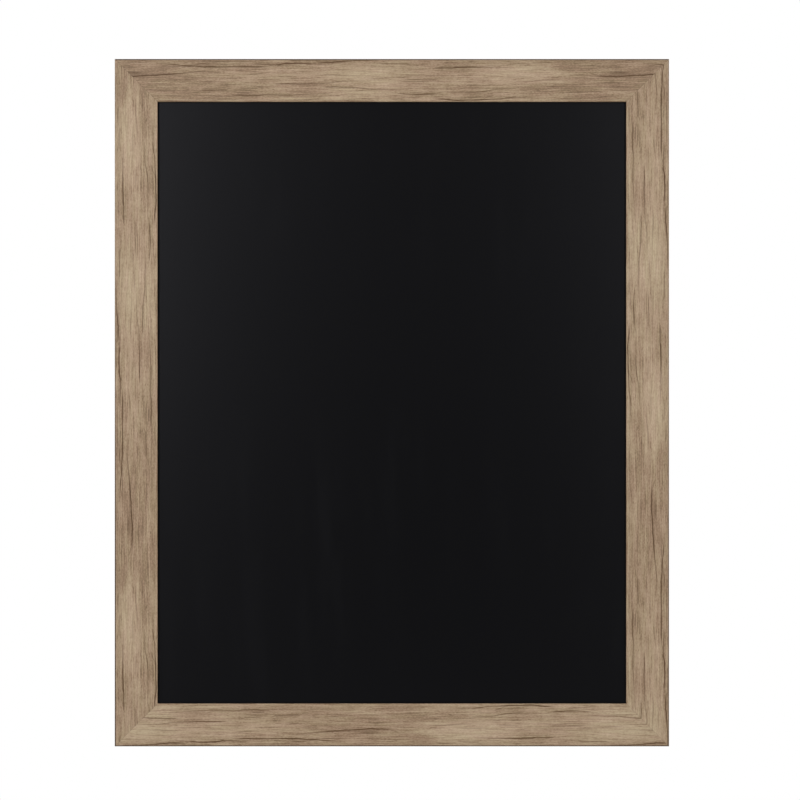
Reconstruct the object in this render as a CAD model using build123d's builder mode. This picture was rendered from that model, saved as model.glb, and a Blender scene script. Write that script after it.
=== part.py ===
from build123d import *
from math import asin, cos, degrees, radians, sin, sqrt
import os

# Wall chalkboard: four mitred lengths of flat moulding round a black writing
# panel, with the fixings that hold it together and hang it on a wall.
# Millimetres, +Z up, +X to the viewer's right, and the front faces -Y.
# The origin is on the wall, behind the middle of the board.

os.makedirs("parts", exist_ok=True)

# Moulding
frame_width = 646
frame_height = 801
moulding_width = 50
moulding_depth = 20
lip_thickness = 5
rebate_width = 7
outer_round = 2.5
sight_round = 1.2
back_ease = 0.8

# Writing panel
sheet_gauge = 0.5
sheet_corner_round = 3
core_thickness = 3
core_corner_round = 1.5
panel_clearance = 1

# V nails in the mitres
nail_gauge = 0.6
nail_height = 10
nail_wing_reach = 4.2
nail_wing_depth = 3.2
nail_tip_reach = 0.9
nail_tip_drop = 0.5
nail_bend_radius = 0.7
nail_place_shares = (0.26, 0.78)
driven_clearance = 0.05

# Framer's points along the rebate
point_gauge = 0.5
point_width = 7
point_driven_length = 6
point_projection = 11
point_tip_length = 2.5
point_end_round = 1.6
points_on_rail = 3
points_on_stile = 4

# D rings
wire_radius = 1
ring_clearance = 0.06
ring_side_play = 0.6
ring_corner_radius = 2.4
ring_leg_length = 2.6
ring_butt_gap = 0.3
ring_rest_gap = 0.3

# Hanger screws
screw_length = 11
screw_tip_length = 3
shank_radius = 1.75
head_radius = 3.4
head_height = 2.2
head_rim = 0.8
head_flat_radius = 1.2
cross_width = 0.9
cross_span = 3.6
cross_depth = 1.3
pilot_clearance = 0.06

# Strap hangers
strap_gauge = 0.8
strap_width = 10
strap_seam = 0.1
strap_ease_radius = 1.5
strap_ramp_angle = 45
strap_tail = 7
strap_hole_play = 0.25
hole_spacing = 13
ring_screw_gap = 2.6
upright_drop = 150
sideways_inset = 130

# Rubber bumpers
bumper_radius = 6
bumper_face_radius = 3.6
bumper_rim = 1.2
bumper_share = 0.5
wall_clearance = 1

# Every cut that passes right through runs over by this much
overrun = 1

# Ring and strap sizes that follow each other: the ring's bar turns in the
# strap's loop, its legs pass the strap's sides, and its bow stops short of the
# first screw
loop_inner_radius = wire_radius + ring_clearance
pivot_height = loop_inner_radius + strap_gauge
strap_stack = 2 * strap_gauge + strap_seam
bar_end = strap_width / 2 + ring_side_play
ring_half_width = bar_end + ring_corner_radius
leg_end = ring_corner_radius + ring_leg_length
ring_reach = leg_end + ring_half_width
first_hole_distance = ring_reach + wire_radius + ring_screw_gap + head_radius
strap_length = first_hole_distance + hole_spacing + strap_tail

# The bumpers hold the frame off the wall by more than the folded rings need
bumper_height = strap_stack + ring_rest_gap + 2 * wire_radius + wall_clearance

# Planes and sizes that the pieces share
BACKWARD = Vector(0, 1, 0)
back_y = -bumper_height
front_y = back_y - moulding_depth
sheet_y = front_y + lip_thickness
core_y = sheet_y + sheet_gauge
point_y = core_y + core_thickness
back_width = moulding_width - rebate_width
panel_width = frame_width - 2 * (back_width + panel_clearance)
panel_height = frame_height - 2 * (back_width + panel_clearance)

# Each length of moulding: the way in from its outer edge, how far that edge
# lies from the middle of the board, its length and its number of points
sticks = {
    "top_rail": (Vector(0, 0, -1), frame_height / 2, frame_width, points_on_rail),
    "right_stile": (Vector(-1, 0, 0), frame_width / 2, frame_height, points_on_stile),
    "bottom_rail": (Vector(0, 0, 1), frame_height / 2, frame_width, points_on_rail),
    "left_stile": (Vector(1, 0, 0), frame_width / 2, frame_height, points_on_stile),
}

# Each corner by the side of the board that it is on, across and up
corners = {
    "top_left": (-1, 1),
    "top_right": (1, 1),
    "bottom_left": (-1, -1),
    "bottom_right": (1, -1),
}

# Each strap hanger: its way of hanging, its stick, the place on the frame's
# back under its ring's pivot, and the way that its strap runs from there
stile_middle = (frame_width - back_width) / 2
rail_middle = (frame_height - back_width) / 2
upright_z = frame_height / 2 - upright_drop
sideways_x = sideways_inset - frame_width / 2
hangers = [
    ("upright", "left", Vector(-stile_middle, back_y, upright_z), Vector(0, 0, -1)),
    ("upright", "right", Vector(stile_middle, back_y, upright_z), Vector(0, 0, -1)),
    ("sideways", "top", Vector(sideways_x, back_y, rail_middle), Vector(1, 0, 0)),
    ("sideways", "bottom", Vector(sideways_x, back_y, -rail_middle), Vector(1, 0, 0)),
]


def section_plane(place, way):
    """Plane with X running the given way along the board and Y towards the wall."""
    return Plane(origin=place, x_dir=way, z_dir=way.cross(BACKWARD))


def back_plane(place, way):
    """Plane parallel to the wall and facing it, with X running the given way."""
    return Plane(origin=place, x_dir=way, z_dir=BACKWARD)


def mitre_place(corner, share):
    """Place on the frame's back on a mitre, and the way inwards along the mitre."""
    across, up = corner
    inset = share * back_width
    place = Vector(
        across * (frame_width / 2 - inset),
        back_y,
        up * (frame_height / 2 - inset),
    )
    return place, Vector(-across, 0, -up).normalized()


# V nails: bent steel wedges driven flush from the back, two to a mitre, which
# pull the two sticks together. Seen from the back each is a V with its bend
# on the mitre and its tips turned back.
with BuildLine() as nail_line:
    FilletPolyline(
        (nail_wing_depth - nail_tip_drop, -nail_wing_reach - nail_tip_reach),
        (nail_wing_depth, -nail_wing_reach),
        (0, 0),
        (nail_wing_depth, nail_wing_reach),
        (nail_wing_depth - nail_tip_drop, nail_wing_reach + nail_tip_reach),
        radius=(nail_bend_radius / 2, nail_bend_radius, nail_bend_radius / 2),
    )

for corner_name, corner in corners.items():
    with BuildPart() as v_nails:
        for share in nail_place_shares:
            with BuildSketch(back_plane(*mitre_place(corner, share))):
                trace(nail_line.line, line_width=nail_gauge)
            extrude(amount=-nail_height)
    v_nails.part.label = f"v_nails_{corner_name}"
    export_step(v_nails.part, f"parts/v_nails_{corner_name}.step")

# The slots that the V nails cut for themselves
slot_width = nail_gauge + 2 * driven_clearance
with BuildPart() as nail_slots:
    for corner in corners.values():
        for share in nail_place_shares:
            place, way = mitre_place(corner, share)
            with BuildSketch(back_plane(place + BACKWARD * overrun, way)):
                trace(nail_line.line, line_width=slot_width)
            extrude(amount=-overrun - nail_height - driven_clearance)


def point_planes(stick_name):
    """Planes on the panel's back at the rebate wall, with X running inwards."""
    inward, half_span, length, count = sticks[stick_name]
    along = inward.cross(BACKWARD)
    pitch = (length - 2 * moulding_width) / count
    wall = inward * (back_width - half_span) + BACKWARD * point_y
    for step in range(count):
        yield back_plane(wall + along * pitch * (step - (count - 1) / 2), inward)


def point_outline(clearance):
    """Outline of a framer's point, with a sharp driven end and a square tab."""
    half_width = point_width / 2 + clearance
    shoulder = point_tip_length - point_driven_length
    with BuildLine() as outline:
        Polyline(
            (point_projection, half_width),
            (shoulder, half_width),
            (-point_driven_length - clearance, 0),
            (shoulder, -half_width),
            (point_projection, -half_width),
            close=True,
        )
    return outline.edges()


# Framer's points: thin steel tabs driven into the rebate wall, flat against
# the panel's back, which hold it forwards against the lip
for stick_name in sticks:
    side = stick_name.split("_")[0]
    with BuildPart() as points:
        for plane in point_planes(stick_name):
            with BuildSketch(plane) as tab:
                make_face(point_outline(0))
                fillet(tab.vertices().group_by(Axis.X)[-1], point_end_round)
            extrude(amount=point_gauge)
    points.part.label = f"points_{side}"
    export_step(points.part, f"parts/points_{side}.step")

# The slots that the points cut for themselves
with BuildPart() as point_slots:
    for stick_name in sticks:
        for plane in point_planes(stick_name):
            with BuildSketch(plane.offset(-driven_clearance)):
                make_face(point_outline(driven_clearance))
            extrude(amount=point_gauge + 2 * driven_clearance)

# The holes that the hanger screws cut for themselves
hole_distances = (first_hole_distance, first_hole_distance + hole_spacing)
with BuildPart() as pilot_holes:
    for _, _, foot, tail in hangers:
        for distance in hole_distances:
            mouth = foot + tail * distance + BACKWARD * overrun
            with BuildSketch(back_plane(mouth, tail)):
                Circle(shank_radius + pilot_clearance)
            extrude(amount=-overrun - screw_length + strap_stack - pilot_clearance)

# Moulding: a flat face with eased edges and a rebate behind the lip. Each
# stick is mitred at both ends, from one and the same section.
for stick_name, (inward, half_span, length, _) in sticks.items():
    middle = BACKWARD * front_y - inward * half_span
    along = inward.cross(BACKWARD)
    with BuildPart() as stick:
        with BuildSketch(section_plane(middle, inward)) as section:
            with BuildLine():
                Polyline(
                    (0, 0),
                    (moulding_width, 0),
                    (moulding_width, lip_thickness),
                    (back_width, lip_thickness),
                    (back_width, moulding_depth),
                    (0, moulding_depth),
                    close=True,
                )
            make_face()
            fillet(section.vertices().group_by(Axis.Y)[0].sort_by(Axis.X)[0], outer_round)
            fillet(section.vertices().group_by(Axis.Y)[0].sort_by(Axis.X)[-1], sight_round)
            fillet(section.vertices().group_by(Axis.Y)[-1].sort_by(Axis.X)[0], back_ease)
        extrude(amount=length / 2, both=True)
        for end in (along, -along):
            tip = middle + end * length / 2
            split(bisect_by=Plane(origin=tip, z_dir=-end - inward), keep=Keep.TOP)
        add(nail_slots.part, mode=Mode.SUBTRACT)
        add(point_slots.part, mode=Mode.SUBTRACT)
        add(pilot_holes.part, mode=Mode.SUBTRACT)
    stick.part.label = stick_name
    export_step(stick.part, f"parts/{stick_name}.step")

# Writing sheet: coated steel, the face that is written on, behind the lip
with BuildPart() as writing_sheet:
    with BuildSketch(back_plane(BACKWARD * sheet_y, Vector(1, 0, 0))):
        RectangleRounded(panel_width, panel_height, sheet_corner_round)
    extrude(amount=sheet_gauge)
writing_sheet.part.label = "writing_sheet"
export_step(writing_sheet.part, "parts/writing_sheet.step")

# Core board: thin fibreboard that the steel sheet is bonded to
with BuildPart() as core_board:
    with BuildSketch(back_plane(BACKWARD * core_y, Vector(1, 0, 0))):
        RectangleRounded(panel_width, panel_height, core_corner_round)
    extrude(amount=core_thickness)
core_board.part.label = "core_board"
export_step(core_board.part, "parts/core_board.step")


def strap_line():
    """Middle line of a folded strap: flat, round the ring's bar, and back on itself."""
    loop_radius = loop_inner_radius + strap_gauge / 2
    upper_height = strap_stack - strap_gauge / 2
    half_turn = 180
    turn = radians(strap_ramp_angle)
    loop_end_height = pivot_height + loop_radius * cos(turn)
    ease_drop = strap_ease_radius * (1 - cos(turn))
    ramp_length = (loop_end_height - upper_height - ease_drop) / sin(turn)
    with BuildLine() as line:
        lower = Line((strap_length, strap_gauge / 2), (0, strap_gauge / 2))
        loop = JernArc(lower @ 1, lower % 1, loop_radius, -half_turn - strap_ramp_angle)
        ramp = PolarLine(loop @ 1, ramp_length, direction=loop % 1)
        ease = JernArc(ramp @ 1, ramp % 1, strap_ease_radius, strap_ramp_angle)
        Line(ease @ 1, (strap_length, upper_height))
    return line.line


# Hanger straps: steel strip folded round the ring's bar, with both layers
# rounded at the tail and pierced for two screws
for way, where, foot, tail in hangers:
    with BuildPart() as strap:
        with BuildSketch(section_plane(foot, tail)):
            trace(strap_line(), line_width=strap_gauge)
        extrude(amount=strap_width / 2, both=True)
        with BuildSketch(back_plane(foot - BACKWARD * overrun, tail)):
            with Locations((strap_length - strap_width / 2, 0)):
                Circle(strap_width / 2)
                Rectangle(2 * strap_length, strap_width, align=(Align.MAX, Align.CENTER))
            with Locations(*((distance, 0) for distance in hole_distances)):
                Circle(shank_radius + strap_hole_play, mode=Mode.SUBTRACT)
        extrude(amount=2 * (pivot_height + overrun), mode=Mode.INTERSECT)
    strap.part.label = f"{way}_strap_{where}"
    export_step(strap.part, f"parts/{way}_strap_{where}.step")

# D rings: wire bent to a D, its straight bar in the strap's loop with the two
# ends meeting inside it. Each hangs folded over its strap, just clear of it.
strap_crossing = leg_end + sqrt(ring_half_width**2 - (strap_width / 2) ** 2)
rest_lift = strap_stack + ring_rest_gap + wire_radius - pivot_height
rest_angle = degrees(asin(rest_lift / strap_crossing))

for way, where, foot, tail in hangers:
    pivot = foot + BACKWARD * pivot_height
    hinge = tail.cross(BACKWARD)
    lean = tail.rotate(Axis((0, 0, 0), hinge), rest_angle)
    ring_plane = Plane(origin=pivot, x_dir=hinge, z_dir=hinge.cross(lean))
    with BuildPart() as ring:
        with BuildLine(ring_plane) as ring_line:
            Line((ring_butt_gap / 2, 0), (bar_end, 0))
            RadiusArc((bar_end, 0), (ring_half_width, ring_corner_radius), -ring_corner_radius)
            Line((ring_half_width, ring_corner_radius), (ring_half_width, leg_end))
            ThreePointArc((ring_half_width, leg_end), (0, ring_reach), (-ring_half_width, leg_end))
            Line((-ring_half_width, leg_end), (-ring_half_width, ring_corner_radius))
            RadiusArc((-ring_half_width, ring_corner_radius), (-bar_end, 0), -ring_corner_radius)
            Line((-bar_end, 0), (-ring_butt_gap / 2, 0))
        start = pivot + hinge * ring_butt_gap / 2
        with BuildSketch(Plane(origin=start, z_dir=hinge)):
            Circle(wire_radius)
        sweep(path=ring_line.wire())
    ring.part.label = f"{way}_ring_{where}"
    export_step(ring.part, f"parts/{way}_ring_{where}.step")

# Hanger screws: pan head wood screws with a cross recess, two to a strap
for way, where, foot, tail in hangers:
    with BuildPart() as screws:
        for distance in hole_distances:
            seat = foot + tail * distance + BACKWARD * strap_stack
            with BuildSketch(section_plane(seat, tail)):
                with BuildLine():
                    Line((0, head_height), (head_flat_radius, head_height))
                    TangentArc((head_flat_radius, head_height), (head_radius, head_rim), tangent=(1, 0))
                    Polyline(
                        (head_radius, head_rim),
                        (head_radius, 0),
                        (shank_radius, 0),
                        (shank_radius, screw_tip_length - screw_length),
                        (0, -screw_length),
                        (0, head_height),
                    )
                make_face()
            revolve(axis=Axis(seat, BACKWARD))
            with BuildSketch(back_plane(seat + BACKWARD * head_height, tail)):
                Rectangle(cross_span, cross_width)
                Rectangle(cross_width, cross_span)
            extrude(amount=-cross_depth, mode=Mode.SUBTRACT)
    screws.part.label = f"{way}_screws_{where}"
    export_step(screws.part, f"parts/{way}_screws_{where}.step")

# Rubber bumpers: domed feet stuck on at the back corners, flat where they
# meet the wall
for corner_name, corner in corners.items():
    place, way = mitre_place(corner, bumper_share)
    with BuildPart() as bumper:
        with BuildSketch(section_plane(place, way)):
            with BuildLine():
                Polyline(
                    (0, bumper_height),
                    (0, 0),
                    (bumper_radius, 0),
                    (bumper_radius, bumper_rim),
                )
                TangentArc(
                    (bumper_radius, bumper_rim),
                    (bumper_face_radius, bumper_height),
                    tangent=(0, 1),
                )
                Line((bumper_face_radius, bumper_height), (0, bumper_height))
            make_face()
        revolve(axis=Axis(place, BACKWARD))
    bumper.part.label = f"bumper_{corner_name}"
    export_step(bumper.part, f"parts/bumper_{corner_name}.step")
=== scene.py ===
from math import cos, radians, sin, tau

import bpy
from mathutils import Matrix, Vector


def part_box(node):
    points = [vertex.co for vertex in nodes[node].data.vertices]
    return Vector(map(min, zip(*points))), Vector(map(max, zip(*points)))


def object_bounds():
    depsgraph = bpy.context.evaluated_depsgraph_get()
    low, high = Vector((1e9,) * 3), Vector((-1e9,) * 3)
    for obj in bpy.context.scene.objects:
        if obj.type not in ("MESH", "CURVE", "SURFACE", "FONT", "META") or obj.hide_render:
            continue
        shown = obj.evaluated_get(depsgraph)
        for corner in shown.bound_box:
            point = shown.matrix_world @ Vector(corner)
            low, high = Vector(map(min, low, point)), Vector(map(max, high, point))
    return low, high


# Wall chalkboard: a black writing panel in a mitred, wood print moulding, hung
# by D rings. Metres, +Z up, the front faces -Y and the wall is at Y = 0.
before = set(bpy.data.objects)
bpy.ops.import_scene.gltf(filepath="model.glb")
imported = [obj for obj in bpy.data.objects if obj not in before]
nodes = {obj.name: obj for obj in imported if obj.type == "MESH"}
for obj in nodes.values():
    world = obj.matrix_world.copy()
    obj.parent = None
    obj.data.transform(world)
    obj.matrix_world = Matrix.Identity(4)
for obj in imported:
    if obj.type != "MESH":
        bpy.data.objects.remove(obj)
cad_lowest, cad_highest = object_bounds()


# Camera: straight in front of the board, far enough back that the frame shows
# almost no perspective. The picture is square, with the board a little to the
# left of its middle.
picture_pixels = 800
board_middle_pixel = (391.9, 402.7)
board_width_pixels = 554.7
sensor_width = 36
camera_distance = 3.2

pixel = (cad_highest[0] - cad_lowest[0]) / board_width_pixels
camera_data = bpy.data.cameras.new("camera")
camera_data.sensor_width = sensor_width
camera_data.lens = sensor_width * camera_distance / (pixel * picture_pixels)
camera = bpy.data.objects.new("camera", camera_data)
bpy.context.scene.collection.objects.link(camera)
camera.rotation_euler = (radians(90), 0, 0)
camera.location = (
    pixel * (picture_pixels / 2 - board_middle_pixel[0]),
    cad_lowest[1] - camera_distance,
    pixel * (board_middle_pixel[1] - picture_pixels / 2),
)
bpy.context.scene.camera = camera
bpy.context.scene.view_settings.view_transform = "Standard"


# Studio: a white room, dark in gloss behind the camera, that gives less than
# half of a plain level of light. Four soft boxes round the board give the rest.
# Each has its bearing from the front, in degrees, and its watts.
MM = 0.001
white = (1, 1, 1, 1)
room_light = 0.4
dark_end_starts = -0.2
dark_end_full = 0.6
box_distance = 2.3
box_width = 0.7
box_height = 1.5
box_lift = 0.62
soft_boxes = {
    "front_left": (-31, 23),
    "front_right": (32, 16),
    "back_left": (-145, 15),
    "back_right": (145, 15),
}


class Shade:
    """A value or a colour inside a material. Sums on values add Math nodes."""

    def __init__(self, tree, socket=None):
        self.tree = tree
        self.socket = socket

    def node(self, kind, sockets=(), output=0, stops=(), line=(), **settings):
        """One node: its settings first, then the values or links of its sockets."""
        made = self.tree.nodes.new("ShaderNode" + kind)
        for name, value in settings.items():
            setattr(made, name, value)
        if stops:
            ramp = made.color_ramp.elements
            for place, colour in stops[1:-1]:
                ramp.new(place).color = colour
            ramp[0].position, ramp[0].color = stops[0]
            ramp[-1].position, ramp[-1].color = stops[-1]
        if line:
            points = made.mapping.curves[0].points
            for place in line[1:-1]:
                points.new(*place)
            points[0].location = line[0]
            points[-1].location = line[-1]
            for point in points:
                point.handle_type = "AUTO_CLAMPED"
            made.mapping.update()
        for name, value in dict(sockets).items():
            if isinstance(value, Shade):
                self.tree.links.new(value.socket, made.inputs[name])
            else:
                made.inputs[name].default_value = value
        return Shade(self.tree, made.outputs[output]) if made.outputs else None

    def math(self, operation, *values):
        return self.node("Math", enumerate(values), operation=operation)

    def vector(self, operation, *values, output=0):
        return self.node("VectorMath", enumerate(values), output, operation=operation)

    def along(self, way):
        """How far this place or direction lies the given way."""
        return self.vector("DOT_PRODUCT", self, way, output=1)

    def measure(self, way):
        """How far this place lies the given way from the middle, in millimetres."""
        return self.along(way / MM)

    def distance(self, other):
        return self.vector("DISTANCE", self, other, output=1)

    def highest(self, other):
        return self.math("MAXIMUM", self, other)

    def mix(self, start, end, share):
        """A colour that goes from start to end with the share."""
        return self.node("Mix", {0: share, 6: start, 7: end}, 2, data_type="RGBA")

    def fade(self, nothing, everything):
        """Goes smoothly from 0 where this value is nothing to 1 at everything."""
        limits = {0: self, 1: nothing, 2: everything, 3: 0, 4: 1}
        return self.node("MapRange", limits, interpolation_type="SMOOTHSTEP")

    def noise(self, scale, detail=2, roughness=0.5):
        """Noise from 0 to 1 at this place."""
        sockets = {"Vector": self, "Scale": scale, "Detail": detail, "Roughness": roughness}
        return self.node("TexNoise", sockets)

    def curve(self, points):
        """This value bent along a line of given points."""
        return self.node("FloatCurve", {1: self}, line=points)

    def bump(self, depth, strength):
        """The surface's slope where this value is its height."""
        return self.node("Bump", {"Height": self, "Distance": depth, "Strength": strength})

    def __add__(self, other):
        return self.math("ADD", self, other)

    def __radd__(self, other):
        return self.math("ADD", other, self)

    def __sub__(self, other):
        return self.math("SUBTRACT", self, other)

    def __rsub__(self, other):
        return self.math("SUBTRACT", other, self)

    def __mul__(self, other):
        return self.math("MULTIPLY", self, other)

    def __rmul__(self, other):
        return self.math("MULTIPLY", other, self)

    def __truediv__(self, other):
        return self.math("DIVIDE", self, other)

    def __rtruediv__(self, other):
        return self.math("DIVIDE", other, self)

    def __abs__(self):
        return self.math("ABSOLUTE", self)


def seen_as_it_is(shade):
    """1 for what the camera sees, straight, in gloss or through glass; 0 for light."""
    ways = ("Is Camera Ray", "Is Glossy Ray", "Is Transmission Ray")
    seen, gloss, through = (shade.node("LightPath", output=way) for way in ways)
    return seen.highest(gloss).highest(through)


room = bpy.data.worlds.new("white_room")
room.use_nodes = True
room.node_tree.nodes.clear()
air = Shade(room.node_tree)
dim = air.node("Background", {"Color": white, "Strength": room_light})
bright = air.node("Background", {"Color": white, "Strength": 1})
dark = air.node("Background", {"Color": white, "Strength": 0})
ahead = air.node("TexCoord", output="Generated").along((0, -1, 0))
in_gloss = air.node("LightPath", output="Is Glossy Ray")
dark_share = in_gloss * ahead.fade(dark_end_starts, dark_end_full)
bright = air.node("MixShader", {0: dark_share, 1: bright, 2: dark})
both = air.node("MixShader", {0: seen_as_it_is(air), 1: dim, 2: bright})
air.node("OutputWorld", {"Surface": both})
bpy.context.scene.world = room

for name, (bearing, watts) in soft_boxes.items():
    lamp_data = bpy.data.lights.new("soft_box_" + name, "AREA")
    lamp_data.shape = "RECTANGLE"
    lamp_data.size = box_width
    lamp_data.size_y = box_height
    lamp_data.energy = watts
    lamp = bpy.data.objects.new("soft_box_" + name, lamp_data)
    bpy.context.scene.collection.objects.link(lamp)
    way = Vector((sin(radians(bearing)), -cos(radians(bearing)), 0))
    lamp.location = way * box_distance + Vector((0, 0, box_lift))
    lamp.rotation_euler = (-lamp.location).to_track_quat("-Z", "Y").to_euler()


# Floor: pale and plain, well below the board as it hangs. It is as white as the
# room but for the board's shadow, and goes over into the room before its edge.
# From underneath it is clear, so that the board shows from there too.
floor_drop = 0.8
floor_reach = 4.2
floor_clear_starts = 1.8
floor_clear_full = 3.6
floor_tone = 0.8
floor_shadow_share = 0.35
floor_glow = 0.72
floor_dark_starts = -0.5
floor_dark_full = 1
floor_dark_end = 0.5

floor_level = cad_lowest[2] - floor_drop
floor_corners = [(-1, -1), (1, -1), (1, 1), (-1, 1)]
floor_mesh = bpy.data.meshes.new("floor")
floor_mesh.from_pydata(
    [(x * floor_reach, y * floor_reach, floor_level) for x, y in floor_corners],
    [],
    [(0, 1, 2, 3)],
)
floor = bpy.data.objects.new("floor", floor_mesh)
bpy.context.scene.collection.objects.link(floor)
floor_cover = bpy.data.materials.new("pale_floor")
floor_cover.use_nodes = True
floor_cover.node_tree.nodes.clear()
ground = Shade(floor_cover.node_tree)
pale = ground.node("BsdfDiffuse", {"Color": (*[floor_tone] * 3, 1)})
shadowed = ground.node("BsdfDiffuse", {"Color": (*[floor_shadow_share] * 3, 1)})
glow = ground.node("Emission", {"Color": white, "Strength": floor_glow})
shown = ground.node("AddShader", {0: shadowed, 1: glow})

spot = ground.node("TexCoord", output="Object")
clear_share = spot.distance((0, 0, floor_level)).fade(floor_clear_starts, floor_clear_full)
clear = ground.node("Emission", {"Color": white, "Strength": 1})
shown = ground.node("MixShader", {0: clear_share, 1: shown, 2: clear})

ahead = spot.along((0, -1, 0))
in_gloss = ground.node("LightPath", output="Is Glossy Ray")
dark_share = in_gloss * ahead.fade(floor_dark_starts, floor_dark_full)
dark = ground.node("Emission", {"Color": white, "Strength": floor_dark_end})
shown = ground.node("MixShader", {0: dark_share, 1: shown, 2: dark})

from_above = ground.node("MixShader", {0: seen_as_it_is(ground), 1: pale, 2: shown})
from_below = ground.node("BsdfTransparent")
underneath = ground.node("NewGeometry", output="Backfacing")
surface = ground.node("MixShader", {0: underneath, 1: from_above, 2: from_below})
ground.node("OutputMaterial", {"Surface": surface})
floor_mesh.materials.append(floor_cover)


# Moulding: fibreboard sticks wrapped in a printed foil of weathered oak, over
# the face and the outer edge and a little way round the back. All four are cut
# from lengths with one and the same print, which repeats along them.
moulding_width = 50
lip_thickness = 5
rebate_width = 7
foil_turn_in = 4.5
foil_raggedness = 3
foil_thickness = 0.4
joint_width = 0.45
joint_shade = 0.45
joint_shade_behind = 0.8
arris_width = 1.8
lip_edge_depth = 0.5


def paint(red, green, blue):
    """A colour as a paint card gives it, from 0 to 255, as a share of light."""
    card = (value / 255 for value in (red, green, blue))
    return (*(v / 12.92 if v <= 0.04045 else ((v + 0.055) / 1.055) ** 2.4 for v in card), 1)


def finish(name, pieces, cover):
    """A new material on pieces; cover gives its sockets, from the place on the piece."""
    made = bpy.data.materials.new(name)
    made.use_nodes = True
    made.node_tree.nodes.clear()
    blank = Shade(made.node_tree)
    surface = blank.node("BsdfPrincipled", cover(blank.node("TexCoord", output="Object")))
    blank.node("OutputMaterial", {"Surface": surface})
    for piece in pieces:
        if not piece.material_slots:
            piece.data.materials.append(made)
        piece.material_slots[0].material = made


oak_tones = [
    (0.0, paint(106, 85, 62)),
    (0.3, paint(140, 116, 91)),
    (0.5, paint(160, 137, 111)),
    (0.7, paint(175, 153, 127)),
    (1.0, paint(190, 171, 144)),
]
fibre_tones = [
    (0.25, paint(134, 107, 76)),
    (0.5, paint(164, 135, 101)),
    (0.75, paint(186, 160, 127)),
]
crack_brown = paint(84, 56, 26)
# Brown of the painted shade along the outer arris and on the lip's inner face
painted_edge_shade_brown = paint(66, 44, 28)
joint_brown = paint(96, 76, 58)
reddish = (1.02, 0.988, 1, 1)
olive = (0.992, 1.002, 0.965, 1)

# The print's repeat, how far its grain sways, how its cracks wander and what
# they are in width and shade, and how strongly each kind of streak in it
# lightens or darkens the foil
print_repeat = 567
grain_sway = 5
crack_wander = 1.5
crack_width = 0.95
crack_core = 1.25
crack_halo_width = 3
crack_halo_shade = 0.05
fine_shade = 0.9
speckle_shade = 0.55
blotch_shade = 0.3
long_dash_shade = 0.38
short_dash_shade = 0.28
pore_shade = 0.3
pore_share = 0.08

# How deep the foil is embossed: all over, at its fine grain, pores and cracks
emboss_depth = 0.18
fine_emboss = 0.5
pore_emboss = 0.3
crack_emboss = 0.7

backward = Vector((0, 1, 0))

# Each stick: the way in from its outer edge, the way that its print runs, the
# place along it where the print starts, in millimetres, how much lighter or darker
# its print is painted, as shade for the sheen that differs with the grain's way,
# and how dark the painted shade is where the foil turns the arris at the two ends
# of the stick, along the print
sticks = {
    "top_rail": (Vector((0, 0, -1)), Vector((1, 0, 0)), -357.1, -0.09, (1, 0.9)),
    "right_stile": (Vector((-1, 0, 0)), Vector((0, 0, -1)), 69.2, 0.01, (0, 0.6)),
    "bottom_rail": (Vector((0, 0, 1)), Vector((-1, 0, 0)), -28.3, 0, (0.95, 0.9)),
    "left_stile": (Vector((1, 0, 0)), Vector((0, 0, 1)), -198.4, -0.03, (1, 0)),
}

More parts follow.
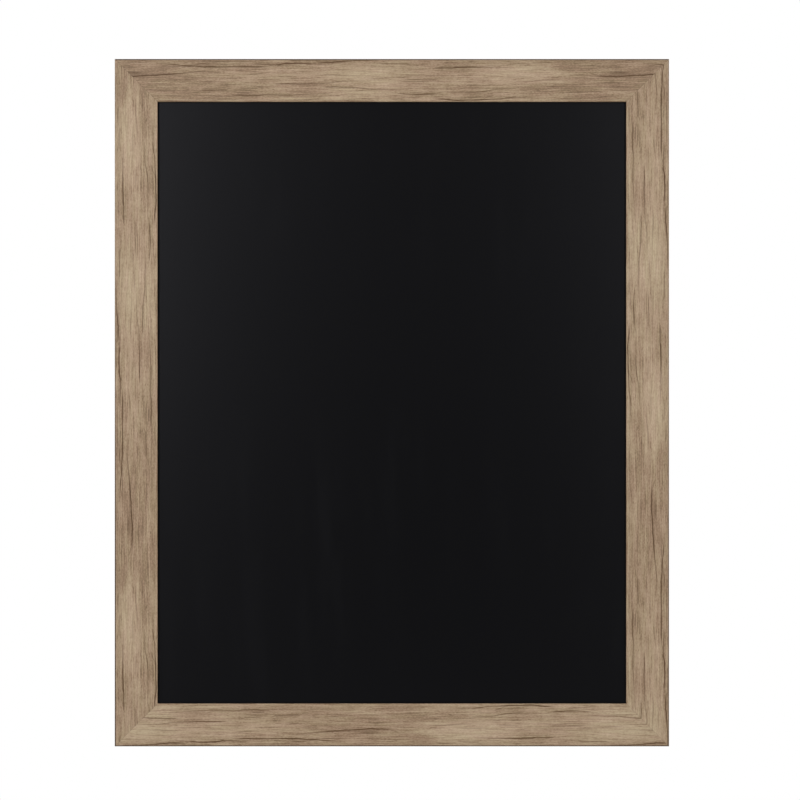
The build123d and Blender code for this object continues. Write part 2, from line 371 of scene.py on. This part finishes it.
# Cracks of the print, each on a line of its own, by the points that it passes:
# how far along the print, how far in from the outer edge, and how dark. Cracks
# in one row never lie beside each other.
crack_rows = [
    [
        (15, 20.6, 0), (30, 20.5, 0.35), (50, 20.7, 1), (62, 20.2, 0.9), (80, 19.4, 0.8),
            (100, 17.6, 0.75), (115, 16.6, 0.55), (132, 15.2, 0.3), (148, 14.3, 0),
        (212, 29.6, 0), (240, 29.3, 0.75), (258, 29.1, 0.6), (285, 28, 0.35), (300, 26.3, 0.3),
            (322, 26, 0),
        (404, 10.5, 0), (413, 10.6, 0.5), (425, 11, 0.5), (434, 9.8, 1), (452, 9.6, 0.9),
            (475, 9.5, 0.45), (488, 10, 0.35), (500, 10.3, 0),
    ],
    [
        (76, 6.3, 0), (100, 6.7, 0.6), (115, 8, 0.8), (128, 8.6, 0.7), (138, 9.2, 0.95),
            (165, 9.2, 0.8), (188, 9.2, 1), (205, 9.2, 0.6), (228, 9.8, 0),
        (262, 3.4, 0), (285, 4, 0.9), (300, 3.1, 0.85), (318, 1.9, 0.6), (335, 1.6, 0.5),
            (356, 1.4, 0),
        (458, 49, 0), (463, 47, 0.35), (470, 44, 0.45), (479, 42.4, 0),
    ],
    [
        (128, 37.3, 0), (145, 36.8, 0.6), (160, 35.8, 0.55), (174, 35.2, 0),
        (176, 33.4, 0), (190, 34.2, 0.45), (207, 33.6, 0),
        (272, 33, 0), (288, 32.8, 0.65), (306, 33, 0.6), (320, 34, 0.45), (330, 35.3, 0.45),
            (345, 35.8, 0.4), (365, 36.2, 0.3), (384, 36, 0),
        (436, 40.2, 0), (446, 39.6, 0.35), (455, 39, 0.5), (465, 37.8, 0.55), (475, 35.9, 0.45),
            (487, 35, 0.4), (500, 34.2, 0.2), (512, 34, 0),
    ],
    [
        (157, 42.5, 0), (178, 42.7, 0.6), (200, 42.8, 0.7), (213, 41.6, 0.4), (230, 42.4, 0.45),
            (250, 41.8, 0.35), (265, 41, 0.3), (284, 41.2, 0),
        (354, 40, 0), (368, 40.7, 0.5), (380, 41.4, 0.6), (395, 41.1, 0.85), (406, 40.8, 0.6),
            (416, 40.8, 0),
        (444, 30.4, 0), (452, 30.5, 0.35), (460, 30.3, 0),
        (466, 30.1, 0), (472, 30, 0.35), (480, 30.1, 0),
    ],
    [
        (112, 7.6, 0), (124, 6.9, 0.4), (136, 6.1, 0.5), (147, 6.6, 0),
        (180, 5.7, 0), (205, 6.2, 0.6), (222, 7, 0.7), (235, 5.6, 1), (250, 5.3, 1),
            (262, 6, 0.6), (275, 6.1, 0),
        (338, 5.3, 0), (350, 5.7, 0.5), (372, 5.6, 0.4), (388, 5.5, 0),
        (488, 5.4, 0), (503, 5.4, 0.35), (516, 6.1, 0.35), (522, 6.6, 0),
        (524, 4.3, 0), (537, 4, 0.45), (548, 4.2, 0),
    ],
    [
        (18, 16.3, 0), (26, 18, 0.35), (35, 20.3, 0),
        (304, 43.7, 0), (310, 43.5, 0.3), (318, 43.4, 0),
        (350, 46.8, 0), (364, 46.2, 0.3), (378, 45.2, 0.35), (392, 45.2, 0),
        (396, 47, 0), (413, 46.8, 0.75), (425, 47.8, 0.9), (440, 48.2, 0.9), (456, 47.8, 0.9),
            (470, 47.3, 0.75), (480, 46.9, 0.55), (490, 46, 0.6), (500, 45.2, 0.5),
            (515, 44.5, 0.4), (534, 43.5, 0),
    ],
    [
        (40, 15.2, 0), (55, 15.6, 0.35), (73, 16, 0),
        (130, 26.9, 0), (142, 26.5, 0.3), (156, 26, 0),
        (183, 17.8, 0), (200, 17.3, 0.35), (217, 16.4, 0),
        (248, 22.8, 0), (256, 22.3, 0.25), (267, 22.4, 0),
        (320, 23.6, 0), (340, 23, 0.3), (358, 22.4, 0),
        (364, 24.6, 0), (380, 24.4, 0.4), (402, 24.3, 0.35), (427, 27, 0),
        (444, 25, 0), (460, 24.6, 0.25), (478, 24.7, 0),
        (498, 27.2, 0), (515, 26.2, 0.25), (535, 25, 0.35), (556, 24.2, 0),
    ],
    [
        (78, 9.6, 0), (87, 9.4, 0.4), (98, 9.8, 0),
        (110, 22.6, 0), (122, 22.3, 0.25), (134, 22.3, 0),
        (180, 40.2, 0), (188, 40.2, 0.3), (195, 40.5, 0),
        (196, 12.1, 0), (207, 11.9, 0.25), (217, 12, 0),
        (218, 14.1, 0), (228, 14.2, 0.25), (238, 14, 0),
        (270, 18.7, 0), (288, 18.8, 0.35), (303, 19.1, 0.2), (320, 20, 0.15), (338, 20.2, 0),
        (356, 21.8, 0), (369, 21.3, 0.3), (384, 21.2, 0),
        (482, 22.3, 0), (496, 21.5, 0.25), (508, 21.2, 0.25), (521, 21.8, 0),
    ],
]

# The print's own light and shade: how light it is on the whole along its
# length, and clouds on it, by the same two measures of their middles, how far
# they reach along the print, and how much lighter or darker they are
swells = [
    (0, 0.49), (50, 0.46), (150, 0.53), (250, 0.57), (322, 0.66), (350, 0.64),
    (390, 0.57), (430, 0.55), (495, 0.63), (530, 0.61), (552, 0.54), (567, 0.49),
]
clouds = [
    (8, 8, 40, -0.17), (22, 3, 36, 0.07), (26, 15, 42, 0.08), (45, 21, 50, -0.07),
    (92, 18, 66, -0.12), (5, 27, 50, 0.07), (1, 33, 40, -0.18), (47, 32, 34, -0.06),
    (50, 8, 26, -0.14), (66, 7, 24, 0.06), (110, 11.5, 38, 0.11), (145, 8.5, 46, -0.12),
    (120, 28, 26, -0.06), (130, 49, 46, -0.12), (28, 38, 28, 0.06), (185, 23, 80, 0.08),
    (150, 37, 46, -0.07), (105, 38, 34, -0.09), (205, 29, 36, -0.12), (190, 42, 44, -0.12),
    (232, 33, 38, 0.11), (262, 30, 44, -0.08), (247, 39, 46, -0.11), (62, 39, 34, 0.07),
    (235, 15, 60, 0.04), (220, 3, 60, -0.1), (290, 3, 66, -0.22), (325, 13, 84, 0.14),
    (306, 40, 48, 0.14), (345, 29, 60, 0.07), (310, 34, 50, -0.07), (365, 4, 44, -0.1),
    (398, 12, 34, -0.09), (385, 41, 50, -0.04), (440, 7, 36, -0.13), (455, 27, 38, 0.09),
    (455, 39, 60, -0.12), (470, 8, 30, 0.07), (480, 17, 62, 0.1), (525, 15, 54, 0.14),
    (495, 39, 28, 0.1), (525, 36, 44, -0.19), (526, 46, 36, -0.1), (552, 1, 34, -0.08),
    (551, 37, 26, 0.1), (50, 12, 24, -0.08), (85, 23, 32, 0.07), (163, 17, 44, -0.06),
    (415, 25, 46, 0.06), (366, 22, 28, -0.06),
]
cloud_flatness = 4.2


def foil_cover(stick):
    """The printed foil of one stick, and its bare fibreboard behind."""
    inward, along, print_start, painted_stick_shade, arris_shade_ends = sticks[stick]
    half_span = abs(cad_highest.dot(inward)) / MM
    half_length = abs(cad_highest.dot(along)) / MM
    lowest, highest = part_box(stick)
    stick_depth = (highest.y - lowest.y) / MM

    def cover(place):
        in_from_edge = place.measure(inward) + half_span
        back_from_face = place.measure(backward) - lowest.y / MM
        on_lip_half = place.math("GREATER_THAN", in_from_edge, moulding_width / 2)
        across = in_from_edge + back_from_face * (on_lip_half * 2 - 1)
        run = place.measure(along) - print_start
        turn = run * (tau / print_repeat)
        round_x = turn.math("COSINE", turn) * (print_repeat / tau)
        round_y = turn.math("SINE", turn) * (print_repeat / tau)

        def streaks(length, width, detail=2):
            """Noise in streaks along the stick, joined up where the print repeats."""
            spot = place.node("CombineXYZ", {0: round_x, 1: round_y, 2: across * (length / width)})
            return spot.noise(1 / length, detail)

        wander = (streaks(14, 5) - 0.5) * crack_wander
        inside = across.math("FLOORED_MODULO", across + wander, moulding_width)
        across = across + (streaks(90, 14) - 0.5) * grain_sway
        share = run.math("FLOORED_MODULO", run / print_repeat, 1)
        fine = streaks(34, 0.8, 1)
        long_dashes = streaks(60, 0.7, 1).fade(0.6, 0.72) * streaks(80, 12).fade(0.35, 0.6)
        short_dashes = streaks(14, 0.8, 1).fade(0.6, 0.74) * streaks(50, 9).fade(0.4, 0.6)
        pores = streaks(7, 0.32, 1).fade(0.58, 0.72)
        # The stick's painted shade lightens or darkens its whole print, for the sheen that differs
        # with the grain's way
        tone = share.curve([(s / print_repeat, level) for s, level in swells]) + painted_stick_shade
        tone = tone + (fine - 0.5) * fine_shade
        tone = tone + (streaks(2.6, 1.1, 1) - 0.5) * speckle_shade
        tone = tone + (streaks(17, 5, 1) - 0.5) * blotch_shade
        tone = tone - long_dashes * long_dash_shade - short_dashes * short_dash_shade
        tone = tone - (pores - pore_share) * pore_shade

        raggedness = 0.75 + streaks(60, 8) * 0.5
        spot = place.node("CombineXYZ", {0: round_x, 1: round_y, 2: inside * cloud_flatness})
        for along_print, from_edge, reach, strength in clouds:
            angle = along_print * tau / print_repeat
            middle = Vector((cos(angle), sin(angle), 0)) * (print_repeat / tau)
            middle.z = from_edge * cloud_flatness
            gap = spot.distance(middle) * raggedness
            tone = tone + gap.fade(reach, 0) * strength

        breaks = 0.9 + streaks(9, 30) * 0.5
        cracks = halo = share * 0
        for row in crack_rows:
            path = [(s / print_repeat, u / moulding_width) for s, u, _ in row]
            darkness = [(s / print_repeat, dark) for s, _, dark in row]
            centre = share.curve([(0, path[0][1]), *path, (1, path[-1][1])]) * moulding_width
            dark = share.curve([(0, 0), *darkness, (1, 0)]) * breaks
            gap = abs(inside - centre)
            cracks = cracks.highest(dark * crack_core * (1 - gap / crack_width))
            halo = halo.highest(dark * (1 - gap / crack_halo_width))
        tone = tone - halo * crack_halo_shade

        # Its colours: the joint at each mitre, and painted shade at the arris and lip edge
        drift = place.mix(reddish, olive, streaks(45, 7).fade(0.35, 0.65))
        printed = tone.node("ValToRGB", {0: tone}, stops=oak_tones)
        printed = printed.vector("MULTIPLY", printed, drift)
        printed = printed.mix(printed, crack_brown, cracks.math("MINIMUM", cracks, 1))
        joint = abs(half_length - abs(place.measure(along)) - in_from_edge).fade(joint_width, 0)
        printed = printed.mix(printed, joint_brown, joint * joint_shade)
        # Painted shade along the outer arris, graded between the stick's two ends
        towards_end = place.measure(along).fade(-half_length * 0.6, half_length * 0.6)
        arris_shade_strength = arris_shade_ends[0] + towards_end * (arris_shade_ends[1] - arris_shade_ends[0])
        arris_shade = in_from_edge.fade(arris_width, arris_width / 2) * arris_shade_strength
        arris_shade = arris_shade * back_from_face.fade(arris_width * 1.6, arris_width / 2)
        printed = printed.mix(printed, painted_edge_shade_brown, arris_shade)
        # Painted shade on the lip's inner face, where it meets the board
        lip_edge_shade = place.math("GREATER_THAN", in_from_edge, moulding_width - lip_edge_depth)
        printed = printed.mix(printed, painted_edge_shade_brown, lip_edge_shade * back_from_face.fade(1, 3.5))

        # Bare fibreboard, where the foil ends behind and in the rebate
        foil_end = foil_turn_in + (place.noise(0.09 / MM) - 0.5) * foil_raggedness
        behind = back_from_face.fade(stick_depth - 0.7, stick_depth - 0.5)
        behind = behind * (in_from_edge - foil_end).fade(0, foil_thickness)
        rebate_wall = moulding_width - rebate_width
        in_rebate = back_from_face.fade(lip_thickness + 0.1, lip_thickness + 0.4)
        in_rebate = in_rebate * in_from_edge.fade(rebate_wall - 0.6, rebate_wall - 0.3)
        bare = behind.highest(in_rebate)
        fibres = place.noise(1.1 / MM, 3, 0.6)
        fibre_tone = fibres * 0.85 + place.noise(0.2 / MM, 3) * 0.15
        board = fibres.node("ValToRGB", {0: fibre_tone}, stops=fibre_tones)
        board = board.mix(board, joint_brown, joint * joint_shade_behind)

        height = fine * fine_emboss - pores * pore_emboss - cracks * crack_emboss
        height = height * (1 - bare) + fibres * bare
        return {
            "Base Color": printed.mix(printed, board, bare),
            "Roughness": 0.46 + fine * 0.12 + bare * 0.3 + arris_shade * 0.3,
            "Specular IOR Level": 0.35,
            "Normal": height.bump(emboss_depth * MM, 0.5),
        }

    return cover


for stick in sticks:
    finish("oak_foil_" + stick, [nodes[stick]], foil_cover(stick))


# Writing sheet: thin steel with a satin, near black chalk paint, baked on. It
# is wiped clean, with the faintest traces of the cloth.
satin = 0.325
cloth_slant = 28
strokes_per_metre = (34, 1, 5)


def chalk_paint(place):
    turned = {0: place, 2: (0, radians(cloth_slant), 0), 3: strokes_per_metre}
    strokes = place.node("Mapping", turned).noise(1, 4, 0.6)
    wiped = strokes.fade(0.45, 0.75) * place.noise(3.1).fade(0.4, 0.7)
    peel = place.noise(0.9 / MM, 2)
    return {
        "Base Color": place.mix(paint(2, 2, 3), paint(18, 18, 20), wiped * 0.1),
        "Roughness": satin + wiped * 0.02 + (peel - 0.5) * 0.05,
        "Specular IOR Level": 0.345,
        "Specular Tint": (0.92, 0.92, 1, 1),
        "Normal": peel.bump(0.012 * MM, 0.4),
    }


finish("chalk_paint", [nodes["writing_sheet"]], chalk_paint)


# Core board: thin brown fibreboard behind the steel, glued all over. Its back
# is bare, with the fibres lying every way, and marked by the screen that it was
# pressed on.
screen_pitch = 1.7
screen_shade = 0.05
hardboard_tones = [
    (0.2, paint(82, 56, 36)),
    (0.42, paint(118, 84, 55)),
    (0.7, paint(152, 114, 78)),
]


def bare_fibreboard(place):
    felt = place.noise(0.8 / MM, 4, 0.7)
    tufts = place.noise(0.12 / MM, 4, 0.6)
    patches = place.noise(7, 3) - 0.5
    across = place.measure(Vector((1, 0, 0))) * (tau / screen_pitch)
    up = place.measure(Vector((0, 0, 1))) * (tau / screen_pitch)
    screen = across.math("SINE", across) * up.math("SINE", up)
    tone = felt * 0.75 + tufts * 0.25 + patches * 0.12 + screen * screen_shade
    return {
        "Base Color": tone.node("ValToRGB", {0: tone}, stops=hardboard_tones),
        "Roughness": 0.72 + (felt - 0.5) * 0.2,
        "Specular IOR Level": 0.25,
        "Normal": (felt + screen * 0.4).bump(0.15 * MM, 0.6),
    }


finish("hardboard", [nodes["core_board"]], bare_fibreboard)


# V nails: steel strip bent to a V and driven flush into each mitre, two to a
# corner. Dull, with a trace of oil.
def spring_steel(place):
    cloudy = place.noise(0.5 / MM, 3)
    clean = cloudy.fade(0.3, 0.7)
    return {
        "Base Color": place.mix(paint(120, 121, 124), paint(168, 168, 168), clean),
        "Metallic": 1.0,
        "Roughness": 0.3 + cloudy * 0.25,
    }


v_nails = [piece for name, piece in nodes.items() if name.startswith("v_nails")]
finish("spring_steel", v_nails, spring_steel)


# Framer's points: stamped tabs of bright steel, shot into the rebate wall
# against the back of the panel.
def stamped_steel(place):
    scratches = place.node("Mapping", {0: place, 3: (1, 1, 14)}).noise(0.3 / MM, 3)
    bright = scratches.fade(0.35, 0.65)
    return {
        "Base Color": place.mix(paint(152, 152, 151), paint(186, 186, 184), bright),
        "Metallic": 1.0,
        "Roughness": 0.26 + scratches * 0.2,
    }


points = [piece for name, piece in nodes.items() if name.startswith("points")]
finish("stamped_steel", points, stamped_steel)


# Strap hangers, D rings and screws: mild steel, zinc plated and passivated,
# with a cloudy sheen that leans a little to blue and straw.
def zinc_plate(place):
    cloudy = place.noise(0.22 / MM, 4, 0.6)
    straw = place.noise(0.08 / MM).fade(0.35, 0.65)
    tint = place.mix(paint(181, 184, 189), paint(194, 190, 181), straw)
    dull = cloudy.fade(0.45, 0.75) * 0.6
    return {
        "Base Color": place.mix(tint, paint(150, 152, 154), dull),
        "Metallic": 1.0,
        "Roughness": 0.24 + cloudy * 0.22,
        "Normal": cloudy.bump(0.02 * MM, 0.3),
    }


plated_parts = ("strap", "ring", "screws")
plated = [piece for name, piece in nodes.items() if any(part in name for part in plated_parts)]
finish("zinc_plate", plated, zinc_plate)


# Bumpers: moulded black rubber with a sticky back, one at each corner.
def black_rubber(place):
    grain = place.noise(0.9 / MM, 3)
    dust = place.noise(0.25 / MM, 4, 0.7).fade(0.55, 0.8)
    return {
        "Base Color": place.mix(paint(38, 38, 39), paint(72, 71, 68), dust * 0.5),
        "Roughness": 0.62 + grain * 0.2,
        "Specular IOR Level": 0.35,
        "Normal": grain.bump(0.03 * MM, 0.4),
    }


bumpers = [piece for name, piece in nodes.items() if name.startswith("bumper")]
finish("black_rubber", bumpers, black_rubber)
